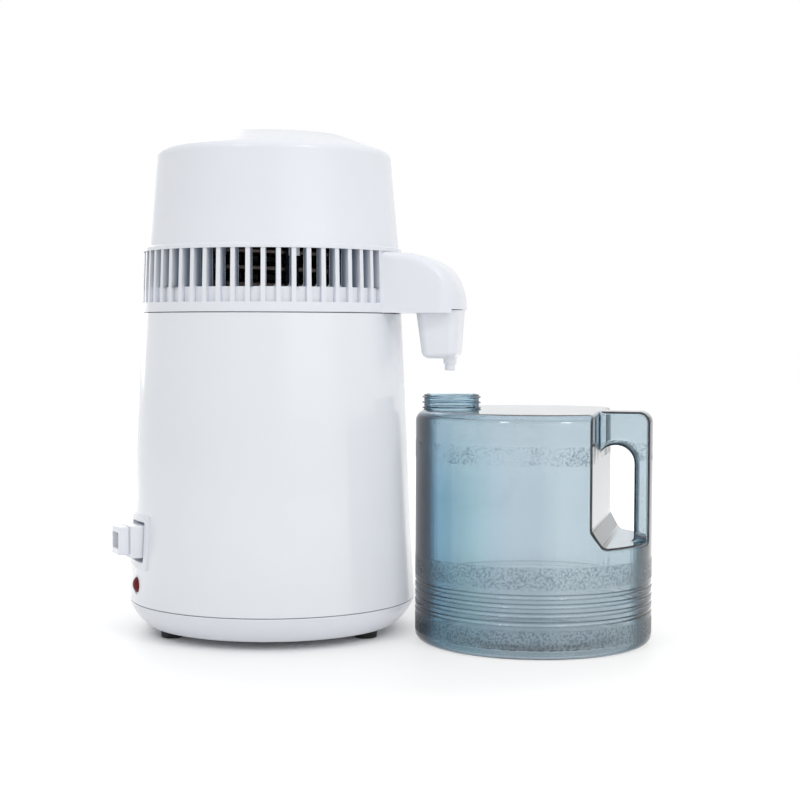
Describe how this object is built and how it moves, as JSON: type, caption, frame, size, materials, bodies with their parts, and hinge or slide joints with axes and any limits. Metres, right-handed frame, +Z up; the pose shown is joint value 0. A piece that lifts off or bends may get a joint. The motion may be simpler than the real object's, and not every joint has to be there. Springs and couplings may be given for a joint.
{
  "type": "countertop water distiller",
  "caption": "Countertop water distiller: a white tapered body with a lift-off fan head and spout over a blue clear plastic jug with a moulded handle.",
  "frame": {"origin": "on the floor, under the middle of the set's bounding box; the distiller's upright axis is 90 mm towards -X and the jug's is 113.7 mm towards +X", "axes": "+X from the distiller to the jug, along the spout; +Y to the left of the spout; +Z up"},
  "size_m": [0.4022, 0.22, 0.38],
  "materials": {
    "white_plastic": "gloss moulded ABS",
    "white_enamel": "gloss white enamel",
    "black_rubber": "matt rubber",
    "grey_plastic": "moulded heat-proof plastic",
    "stainless": "drawn stainless steel",
    "zinc_steel": "zinc plated steel",
    "aluminium": "cast and rolled aluminium",
    "nickel_brass": "nickel plated brass",
    "red_plastic": "gloss translucent red",
    "silicone": "soft silicone",
    "copper_winding": "lacquered copper wire",
    "carbon_cloth": "non-woven bag",
    "blue_clear_plastic": "clear tinted polycarbonate"
  },
  "bodies": {
    "stand": {"base_tray": "white_plastic", "rubber_feet": "black_rubber", "base_screws": "zinc_steel", "outer_shell": "white_enamel", "boiling_tank": "stainless", "tank_collar": "grey_plastic", "tank_cradle": "zinc_steel", "heater_plate": "aluminium", "heater_clamp": "zinc_steel", "heater_nuts": "zinc_steel", "control_thermostat": "grey_plastic", "thermal_cutout": "grey_plastic", "reset_guide": "white_plastic", "reset_spring": "zinc_steel", "inlet_bezel": "white_plastic", "inlet_shroud": "white_plastic", "inlet_pins": "nickel_brass", "fan_socket": "grey_plastic", "fan_socket_pins": "nickel_brass"},
    "button": {"reset_button": "red_plastic"},
    "head": {"head_housing": "white_plastic", "dome_cover": "white_plastic", "tank_lid": "stainless", "lid_gasket": "silicone", "steam_riser": "stainless", "condenser_coil": "stainless", "condenser_fins": "aluminium", "distillate_pipe": "stainless", "fan_lead_gland": "black_rubber", "fan_motor": "zinc_steel", "motor_winding": "copper_winding", "bearing_bridges": "zinc_steel", "motor_bracket": "zinc_steel", "bracket_screws": "zinc_steel", "motor_bolts": "zinc_steel"},
    "fan": {"fan_rotor": "white_plastic", "fan_shaft": "stainless", "motor_rotor": "zinc_steel"},
    "cup": {"filter_cup": "white_plastic", "outlet_nozzle": "white_plastic", "carbon_sachet": "carbon_cloth"},
    "jug": {"jug": "blue_clear_plastic"}
  },
  "joints": [
    {"name": "head_lift", "type": "slide", "parent": "stand", "child": "head", "axis": [0, 0, 1], "range_m": [0, 0.15]},
    {"name": "fan_spin", "type": "hinge", "parent": "head", "child": "fan", "pos_m": [-0.09, 0, 0.33], "axis": [0, 0, 1], "continuous": true},
    {"name": "cup_slide", "type": "slide", "parent": "head", "child": "cup", "axis": [1, 0, 0], "range_m": [0, 0.045]},
    {"name": "jug_slide", "type": "slide", "parent": "stand", "child": "jug", "axis": [1, 0, 0], "range_m": [0, 0.15]},
    {"name": "button_press", "type": "slide", "parent": "stand", "child": "button", "axis": [0.788, 0.6157, 0], "range_m": [0, 0.0025], "stiffness_N_per_m": 300, "deforming": ["reset_spring"]}
  ]
}
